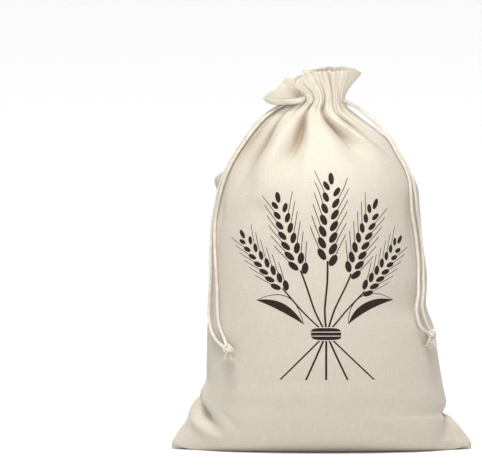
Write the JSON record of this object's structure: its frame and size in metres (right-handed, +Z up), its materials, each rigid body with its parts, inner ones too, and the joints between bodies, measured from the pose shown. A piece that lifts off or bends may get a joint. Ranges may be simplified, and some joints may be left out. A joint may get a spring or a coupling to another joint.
{
  "type": "drawstring linen bread bag",
  "caption": "Filled-shape linen drawstring bread bag: two panels, gathered neck with ruffled hem, free cord ends knotted at each side.",
  "frame": {"origin": "on the surface the bag stands on, under the middle of its bounding box", "axes": "+Z up along the bag's height, the printed front faces -Y, +X to the right seen from the front"},
  "size_m": [0.3002, 0.1764, 0.3839],
  "materials": {
    "linen": "natural undyed plain weave, matte, dark brown line print on the front",
    "cotton_cord": "natural twisted cotton, matte"
  },
  "bodies": {
    "root": {"front_panel": "linen", "back_panel": "linen", "cord_left_front": "cotton_cord", "cord_left_back": "cotton_cord", "cord_right_front": "cotton_cord", "cord_right_back": "cotton_cord", "knot_left": "cotton_cord", "knot_right": "cotton_cord", "fray_left": "cotton_cord", "fray_right": "cotton_cord"}
  },
  "joints": []
}
